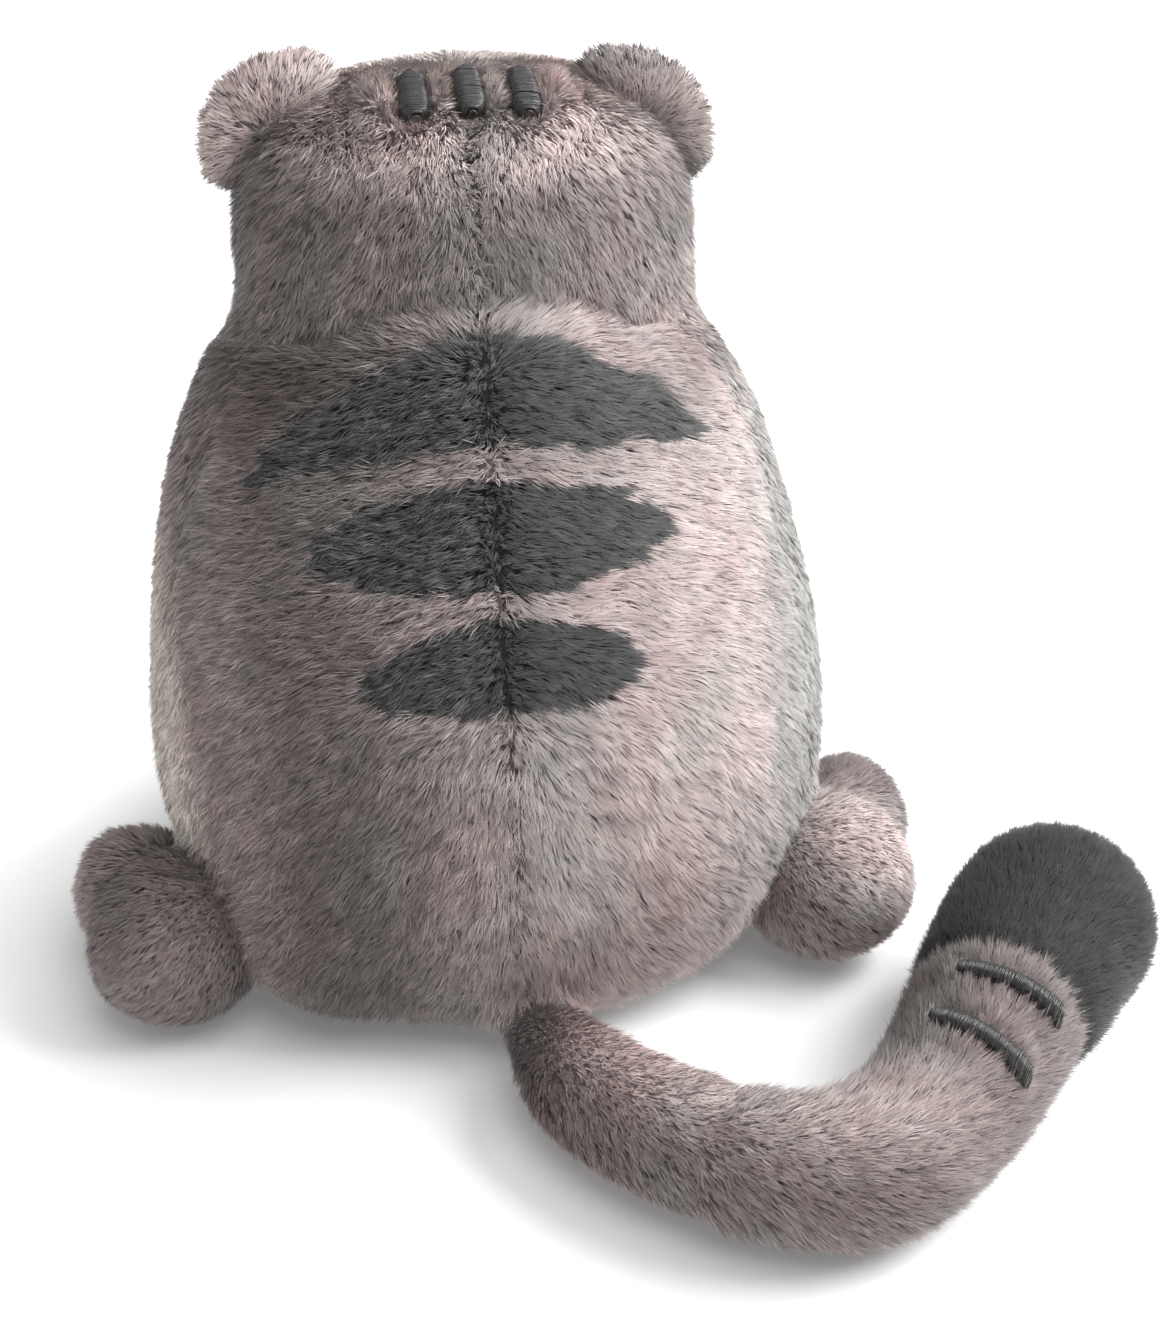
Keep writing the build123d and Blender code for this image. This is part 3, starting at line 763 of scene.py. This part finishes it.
rng = np.random.default_rng(41)
roots = body.roots(rng, order=NECK_UP)
home, normal, label, gap = (roots[key] for key in ("home", "normal", "label", "gap"))


def in_stripe(points):
    """Whether points lie in a stripe, on the back's slope."""
    across = points[:, 0] + 0.8 * drift(points, 7, 8)
    along = (points - STRIPE_ORIGIN) @ STRIPE_UP + 0.9 * drift(points, 6, 9)
    inside = np.zeros(len(points), bool)
    for half_width, tips, (top, bottom), pointed in STRIPES:
        share = np.clip(1 - (across / half_width) ** 2, 0, 1)
        tip_height = np.where(across > 0, *tips)
        middle = tip_height + ((top + bottom) / 2 - tip_height) * share
        inside |= np.abs(along - middle) < (top - bottom) / 2 * share ** pointed
    return inside


back = np.char.startswith(label, "back") | np.char.startswith(label, "stripe")
striped = back & in_stripe(home)
roots["label"] = label = np.where(back, np.where(striped, "stripe_1_left", "back_panel_left"), label)
x, y, z = home.T
side = np.where(x >= 0, 1.0, -1.0)
is_head = np.char.startswith(label, "head") | (label == "face_panel")
front = label == "face_panel"
below = 1 - ramp(z, 95, 130)
above = ramp(z, 196, 206) * (1 - ramp(np.abs(x), 25, 55))
reach = ramp(np.abs(x), 2, 45)
out = (0.95 - 0.65 * below) + 0.45 * below * reach
down = 0.32 + 0.6 * below - 1.2 * above
back_flow = np.stack([side * out, np.zeros_like(x), -down], axis=1)
side_flow = np.stack([side * 0.1, 0.25 + 0 * x, -1 + 0 * x], axis=1)
top = ramp(normal[:, 2], 0.55, 0.9)
head_out = 0.10 + 0.16 * ramp(np.abs(x), 10, 50)
head_flow = np.stack([side * head_out, 0.2 + 0.8 * top, -1 + 0.7 * top], axis=1)
face_flow = np.stack([side * 0.5, -0.3 + 0 * x, -0.9 + 0 * x], axis=1)
flow = np.where(back[:, None], back_flow, side_flow)
flow = np.where(is_head[:, None], head_flow, flow)
flow = np.where(front[:, None], face_flow, flow)
parting = hump(x, 0, 2.2) * (back | is_head)
cross = np.random.default_rng(7).normal(0, 0.9, len(x)) * parting
flow = turned(tangent(flow, normal), normal, drift(home, 26, 3) * 0.22 + drift(home, 9, 4) * 0.16 + cross)

flank = ramp(x, 0, 60) * ~is_head
pinkness = (0.38 + 0.45 * drift(home, 42, 11) + 0.25 * ramp(-x, -20, 60) + 0.2 * ramp(np.abs(x), 30, 80)
            + 0.35 * flank * (1 - ramp(z, 90, 150)))
pinkness = np.clip(pinkness, 0, 1)
paleness = np.clip(0.25 * drift(home, 14, 12) + 0.2 * drift(home, 5, 13) + 0.12, 0, 1)
tip = mix(mix(GREY, PINK, pinkness), PALE, paleness)
ragged = 3 * drift(home, 9, 18)
tip = mix(tip, BEIGE, ramp(x + ragged, 82, 95) * ~is_head)
tip = mix(tip, LICHEN, ramp(-x + ragged, 58, 88) * ~is_head)
tip = tip * (1 + 0.10 * drift(home, 6, 14) + 0.08 * drift(home, 20, 15))[:, None]
crown_gap, ear_gap = bars.distances(home), ears.distances(home)
beside = hump(y, -28, 12)
# painted light on top of the crown (on_crown), painted shade in a band below it (crown_edge), and the head as a
# whole darker
on_crown = ramp(z, 234, 244)
# painted shade on the cat's left side, away from the light, deepest low down (low_down)
shaded = ramp(x, -14, 44) * (1 - 0.35 * ramp(x, 52, 74)) * (1 - ramp(x, 80, 94))
low_down = 1 - ramp(z, 60, 115)
crown_edge = hump(z, 224, 15)
# painted_shading scales the tip colour with painted light and shade
painted_shading = np.where(is_head, 0.60 + 0.50 * on_crown - 0.12 * crown_edge, 1 - (0.60 + 0.10 * low_down) * shaded)
# painted shade across the top of the back under the head, and painted light on the lower right side
painted_shading = painted_shading * (1 - 0.30 * ramp(z, 172, 190) * ~is_head) * (1 + 0.10 * ramp(-x, 20, 50) * below)
# painted shade in the creases round the ears
ear_crease_shade = (1 - ramp(ear_gap, 0.5, 4.5)) * (1 - ramp(z, 238, 250))
# painted shade on the far right edge of the torso
painted_shading = painted_shading * (1 - 0.72 * ear_crease_shade) * (1 - 0.14 * ramp(-x, 66, 84) * ~is_head)
# painted shade in the neck crease
painted_shading = painted_shading * (1 - 0.16 * hump(z, 184, 9) * ~is_head)
# painted highlight on the ridges beside the crown bars
tip = tip * (painted_shading * (1 + 0.30 * hump(crown_gap, 5, 4) * beside))[:, None]
tip = np.clip(tip, 0, 0.9)
# the roots take the same painted light and shade
root = ROOT * (0.35 + 0.65 * painted_shading)[:, None]
# painted light: roots brought close to the tip colour on the lit right side and on the upper head, so that no
# dark gaps show there
painted_lit_roots = np.maximum(0.75 * ramp(-x, -14, 16), 0.45 * is_head * ramp(z, 200, 222) * ramp(ear_gap, 1, 8))
root = mix(root, 0.66 * tip, painted_lit_roots)
tip[striped] = (DARK * (1 + 0.22 * drift(home, 5, 16))[:, None])[striped]
root[striped] = DARK_ROOT

wild = 0.6 + 0.5 * ramp(x, -12, 20)
collar = (home - NECK) @ NECK_UP
skirt = hump(collar, 5, 9) * is_head * ramp(np.abs(x), 30, 56)
lift = 0.25 * hump(gap, 0, 4) * (1 - skirt) + 0.10 * drift(home, 12, 17) + 0.35 * parting - 0.3 * skirt
lift += 0.5 * hump(crown_gap, 4, 3.5) * beside - 0.16 * is_head * ramp(z, 200, 222) * (1 - beside)
stretch = (1 + 0.15 * hump(crown_gap, 5.5, 3) * beside) * (1 - 0.35 * (1 - ramp(crown_gap, 0.5, 3)))
stretch = stretch * (1 - 0.25 * skirt)
speckle = 0.14 + 0.36 * ramp(x, -12, 20) + 0.18 * striped * ramp(x, -12, 10)
for group, select in (("torso", ~is_head), ("head", is_head)):
    grow(group, roots, select, flow, tip, root, rng, on_body, wild, lift, stretch, speckle)

for name in named("crown_bar"):
    laid_threads(name, (0, 1, 0), (0, 0.25, 1), 1.6, riding("head"))
laid_threads("nose", (1, 0, 0), (0, -1, 0), 0.0, riding("head"), nose_satin)


# ---------------------------------------------------------------- limbs and ears
def plain_colour(at, seed, dark=None):
    pinkness = np.clip(0.65 + 0.5 * drift(at, 30, seed), 0, 1)
    paleness = np.clip(0.3 * drift(at, 8, seed + 1) + 0.15, 0, 1)
    tip = mix(mix(GREY, PINK, pinkness), PALE, paleness)
    tip = np.clip(tip * (1 + 0.10 * drift(at, 5, seed + 2))[:, None], 0, 0.9)
    root = np.broadcast_to(ROOT, tip.shape).copy()
    if dark is not None:
        tip[dark] = (DARK * (1 + 0.22 * drift(at, 5, seed + 3))[:, None])[dark]
        root[dark] = DARK_ROOT
    return tip, root


def model_leg(seat, toe, deep):
    """A furrow between the leg's lobe and the toes' lobe."""
    ahead = unit(toe - seat)

    def model(points, normals, home, edges):
        share = (points - seat) @ ahead
        furrow = deep * hump(share, np.linalg.norm(toe - seat) * 0.42, 3.6)
        toes = 1.2 * ramp(share, 16, 26)
        flare = 3.5 * (1 - ramp(share, -2, 10))
        return points + normals * (toes + flare - furrow)[:, None]
    return model


def model_ear(root_point, hinge, out):
    """A lobe that is wider along its hinge line than the frame's, and flat on top of its seam."""
    def model(points, normals, home, edges):
        across = (points - root_point) @ hinge
        rise = (points - root_point) @ out
        stretched = 0.13 + 0.14 * (1 - ramp(rise, 2, 16))
        return points + hinge * (stretched * across)[:, None] - out * (0.8 * ramp(rise, 6, 18))[:, None]
    return model


# painted light and shade over each whole limb: the left leg and the right ear darker, the left ear lighter, the
# paws a little darker; and towards the toes, the left leg lighter and the right leg darker
PAINTED_LIMB_SHADING = {"leg_left": 0.54, "leg_right": 1.05, "ear_left": 1.24, "ear_right": 0.62}
PAINTED_TOE_SHADING = {"leg_left": 0.50, "leg_right": -0.70}
FURROWS = {"left": 5.0, "right": 1.6}
TOES = {"left": np.array((110, 18, 25.5)), "right": np.array((-109, 10, 27))}
EAR_ROLL = math.radians(45)
for index, side_name in enumerate(SIDES):
    sign = 1 - 2 * index
    for limb, joint_name, voxel in (("leg", "splay", 3.4), ("paw", "swing", 3.0), ("ear", "fold", 3.0)):
        part = f"{limb}_{side_name}"
        root_point = joint_ball[f"{part}_{joint_name}"]
        limb_nodes = [name for name in named(part) if "stuffing" not in name and "toe" not in name]
        hinge = np.array((math.cos(EAR_ROLL), 0, -sign * math.sin(EAR_ROLL)))
        outward = np.array((sign * math.sin(EAR_ROLL), 0, math.cos(EAR_ROLL)))
        model = {"leg": model_leg(root_point, TOES[side_name], FURROWS[side_name]),
                 "ear": model_ear(root_point, hinge, outward)}.get(limb)
        skin = Skin(f"{part}_cloth", limb_nodes, voxel, cap=1.0, model=model)
        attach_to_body(skin.obj, part)
        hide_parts(*[name for name in named(part) if "toe" not in name])
        roots = skin.roots(rng)
        at, normal = roots["at"], roots["normal"]
        tip, root = plain_colour(at, 60 + index * 10)
        # painted light and shade over the whole limb
        painted_shading = np.full(len(at), PAINTED_LIMB_SHADING.get(part, 0.9))
        if limb == "ear":
            flow = at - root_point + np.array((0, 0, 3.0))
            rise = (at - root_point) @ outward
            outer = ramp((at - root_point) @ hinge * sign, -16, 4)
            # painted shade at the ear's base on its outer side, painted light towards its top
            tip = tip * (1 - 0.66 * (1 - ramp(rise, 0, 6)) * outer + 0.12 * ramp(rise, 10, 20))[:, None]
        else:
            low, high = (np.array(corner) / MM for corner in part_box(limb_nodes[-1]))
            ahead = unit((low + high) / 2 - root_point)
            beyond = (at - root_point) @ ahead
            near_toes = ramp(beyond, 4, 26)
            # painted light towards the left toes, painted shade towards the right toes
            painted_shading = painted_shading * (1 + PAINTED_TOE_SHADING.get(part, 0) * near_toes)
            if limb == "leg":
                # painted shade in the furrow between the leg and the toes
                painted_shading = painted_shading * (1 - FURROWS[side_name] / 9 * hump(beyond, 12.5, 3.0))
            across_leg = np.tile((sign * 0.8, 0.35, -0.45), (len(at), 1))
            flow = mix(across_leg, np.tile(ahead + (0, 0.3, -0.5), (len(at), 1)), 0.6 * near_toes)
        # the roots take the same painted light and shade
        tip, root = tip * painted_shading[:, None], root * (0.35 + 0.65 * painted_shading)[:, None]
        grow(part, roots, np.ones(len(at), bool), tangent(flow, normal), tip, root, rng, riding(part))
    toe_way = TOES[side_name] - joint_ball[f"leg_{side_name}_splay"]
    laid_threads(f"leg_{side_name}_toe_stitches", (0, 0, 1), toe_way, 0.4, riding(f"leg_{side_name}"))

# ---------------------------------------------------------------- tail, in two lengths that meet at its middle
tail_nodes = named("tail_base_skin", "tail_mid_skin", "tail_end_skin", "tail_tip", "tail_band")
line = np.array(TAIL_LINE, float)
knots = np.vstack([2 * line[0] - line[1], line, 2 * line[-1] - line[-2]])
fine = []
for index in range(len(line) - 1):
    p0, p1, p2, p3 = knots[index:index + 4]
    for share in np.linspace(0, 1, 12, endpoint=False):
        fine.append(0.5 * (2 * p1 + (p2 - p0) * share + (2 * p0 - 5 * p1 + 4 * p2 - p3) * share ** 2
                           + (3 * p1 - p0 - 3 * p2 + p3) * share ** 3))
fine = np.array(fine + [line[-1]])
heading = unit(np.gradient(fine, axis=0))
curl_out = unit(np.cross(heading, np.array((0, 0, 1.0))))


def along_tail(points):
    """Index of the nearest place on the tail's middle line."""
    return np.argmin(((points[:, None, :] - fine[None]) ** 2).sum(axis=2), axis=1)


band_finder = Finder(named("tail_band"))


def model_tail(points, normals, home, edges):
    """A root that narrows into the body, a slimmer outside to the curl, and furrows under the satin bands."""
    away = band_finder.distances(home)
    here = along_tail(points)
    outside = np.clip(((points - fine[here]) * curl_out[here]).sum(axis=1) / 20, 0, 1)
    slim = 5.2 * outside * ramp(here, 10, 26) * (1 - ramp(here, 54, 66))
    points = points - curl_out[here] * slim[:, None]
    points = points + normals * (1.0 * hump(away, 4.5, 2.5) - 1.6 * (1 - ramp(away, 0, 3)))[:, None]
    from_root = (points - fine[0]) @ heading[0]
    points = points - heading[0] * (10 * (1 - ramp(from_root, -16, 10)) * (here < 30))[:, None]
    narrow = 0.46 + 0.54 * ramp(from_root, -12, 38)
    axis = fine[0] + from_root[:, None] * heading[0] - (0, 0, 12) * (1 - narrow[:, None])
    near_root = (from_root < 38) & (here < 30)
    return np.where(near_root[:, None], axis + (points - axis) * narrow[:, None], points)


tail = Skin("tail_root_cloth", tail_nodes, 4.0, model=model_tail)
bend_1, bend_2 = joint_ball["tail_mid_bend"], joint_ball["tail_end_bend"]
cut_index = along_tail(((bend_1 + bend_2) / 2)[None])[0]


def on_tail_root(obj):
    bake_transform(obj)


def on_tail_end(obj):
    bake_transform(obj)


roots = tail.roots(rng)
at, normal = roots["at"], roots["normal"]
spot = along_tail(at)
flow = tangent(heading[spot] + 0.35 * unit(at - fine[spot]) + np.array((0, 0, -0.25)), normal)
tip, root = plain_colour(at, 90, dark=roots["label"] == "tail_tip")
curl_side = ((at - fine[spot]) * curl_out[spot]).sum(axis=1) / 25
# painted shade: the outside of the curl, the tail's root by the body, and its end half are darkened
outer_side = ramp(curl_side, 0.1, 0.8) * (1 - ramp(spot, 34, 50))
painted_shading = (1 - 0.50 * outer_side) * (1 - 0.52 * (1 - ramp(spot, 4, 16)))
painted_shading = painted_shading * (1 - 0.64 * ramp(spot, 32, 52))
tip = tip * painted_shading[:, None] * (1 - (1 - ramp(spot, 8, 26))[:, None] * (0, 0.14, 0.14))
# the roots take the same painted shade
root = root * (0.35 + 0.65 * painted_shading)[:, None]
band_gap = band_finder.distances(roots["home"])
lift = 0.3 * hump(band_gap, 3, 3)
first = spot < cut_index
grow("tail_root", roots, first, flow, tip, root, rng, on_tail_root, lift=lift)
grow("tail_end", roots, ~first, flow, tip, root, rng, on_tail_end, lift=lift)

end_cloth = link(bpy.data.objects.new("tail_end_cloth", tail.obj.data.copy()))
for obj, sign in ((tail.obj, 1), (end_cloth, -1)):
    shape = bmesh.new()
    shape.from_mesh(obj.data)
    near = along_tail(np.array([face.calc_center_median() for face in shape.faces]) / MM)
    dropped = (near - cut_index) * sign > 0
    beyond_cut = [face for face, drop in zip(shape.faces, dropped) if drop]
    bmesh.ops.delete(shape, geom=beyond_cut, context="FACES")
    shape.to_mesh(obj.data)
    shape.free()
on_tail_root(tail.obj)
on_tail_end(end_cloth)
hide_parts("tail_base_skin", "tail_base_stuffing", "tail_mid_skin", "tail_mid_stuffing")
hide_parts("tail_end_skin", "tail_end_stuffing", "tail_tip")
for name in named("tail_band"):
    low, high = (np.array(corner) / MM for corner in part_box(name))
    here = along_tail(((low + high) / 2)[None])[0]
    laid_threads(name, np.cross(heading[here], (0, 0, 1)), (low + high) / 2 - fine[here], 0.7, on_tail_end)

# ---------------------------------------------------------------- stage, light and camera
# The floor glows more the further it is from the toy: painted light that washes out the lamps' cast shadows,
# and a painted shadow where it glows less round the toy's low parts, shifted by SHADOW_SHIFT.
FLOOR_REACH, FLOOR_CELL, FLOOR_RIM = 600, 12, 6000
FLOOR_COLOUR = (0.74, 0.74, 0.74, 1)
FLOOR_DROP = 0.5
GLOW_NEAR, GLOW_FAR, GLOW_REACH = 0.14, 0.92, 135
SHADOW_SHIFT = (-20, 10, 0)
SHADOW_HEIGHT = 70           # only what is lower than this darkens the floor
steps = np.arange(-FLOOR_REACH, FLOOR_REACH + 1, FLOOR_CELL)
grid_x, grid_y = np.meshgrid(steps, steps)
floor_points = np.stack([grid_x.ravel(), grid_y.ravel(), np.zeros(grid_x.size)], axis=1)
row = len(steps)
corner = (np.arange(row - 1)[:, None] * row + np.arange(row - 1)).ravel()
floor_mesh = bpy.data.meshes.new("floor")
rim = np.array([(-1, -1, 0), (1, -1, 0), (1, 1, 0), (-1, 1, 0)]) * FLOOR_RIM
quads = np.stack([corner, corner + 1, corner + row + 1, corner + row], axis=1).tolist()
inner = [0, row - 1, row * row - 1, row * (row - 1)]
for index in range(4):
    following = (index + 1) % 4
    quads.append([row * row + index, row * row + following, inner[following], inner[index]])
floor_mesh.from_pydata((np.vstack([floor_points, rim]) * MM).tolist(), [], quads)
painted_shadow_casters = np.vstack([points_of(obj.data)[::5] for obj in (body.obj, tail.obj, end_cloth)]
                 + [points_of(bpy.data.objects[f"leg_{side_name}_cloth"].data)[::5] for side_name in SIDES])
painted_shadow_casters = painted_shadow_casters[painted_shadow_casters[:, 2] < SHADOW_HEIGHT] * (1, 1, 0) + SHADOW_SHIFT
away, _ = nearest(floor_points, painted_shadow_casters)
glow = GLOW_NEAR + (GLOW_FAR - GLOW_NEAR) * ramp(away, 0, GLOW_REACH)
glow = np.append(glow, np.full(len(rim), GLOW_FAR))
attribute = floor_mesh.attributes.new("glow", "FLOAT", "POINT")
attribute.data.foreach_set("value", glow.astype(np.float32))
floor = link(bpy.data.objects.new("floor", floor_mesh))
floor.location.z = cad_box[0][2] - FLOOR_DROP * MM
floor_paint, floor_tree, floor_shader = node_material("floor")
floor_shader.inputs["Base Color"].default_value = FLOOR_COLOUR
floor_shader.inputs["Roughness"].default_value = 0.9
floor_shader.inputs["Emission Color"].default_value = (1, 1, 1, 1)
glow_node = floor_tree.nodes.new("ShaderNodeAttribute")
glow_node.attribute_name = "glow"
floor_tree.links.new(glow_node.outputs["Fac"], floor_shader.inputs["Emission Strength"])
floor_mesh.materials.append(floor_paint)

world = bpy.data.worlds.new("studio")
bpy.context.scene.world = world
world.use_nodes = True
world.node_tree.nodes["Background"].inputs["Color"].default_value = (1, 1, 1, 1)
world.node_tree.nodes["Background"].inputs["Strength"].default_value = 0.24


LAMP_TARGET = (-20, 20, 90)
# each lamp's place, size and power
LAMPS = {"key": ((-1150, 60, 1150), 1200, 48), "top": ((-200, 600, 1600), 1200, 14)}
CAMERA_AT, CAMERA_TARGET = (42.2, 576, 470.4), (-28.5, 0, 79)
LENS, SENSOR = 62.46, 36


def aim(obj, position, target):
    obj.location = Vector(position) * MM
    obj.rotation_euler = (Vector(target) * MM - obj.location).to_track_quat("-Z", "Y").to_euler()


def soft_light(name, position, size, power):
    lamp = bpy.data.lights.new(name, "AREA")
    lamp.shape = "DISK"
    lamp.size = size * MM
    lamp.energy = power
    obj = link(bpy.data.objects.new(name, lamp))
    aim(obj, position, LAMP_TARGET)


for name, settings in LAMPS.items():
    soft_light(name, *settings)

lens = bpy.data.cameras.new("camera")
lens.sensor_width = SENSOR
lens.sensor_fit = "AUTO"
lens.lens = LENS
camera = link(bpy.data.objects.new("camera", lens))
aim(camera, CAMERA_AT, CAMERA_TARGET)
bpy.context.scene.camera = camera
bpy.context.scene.view_settings.view_transform = "Standard"
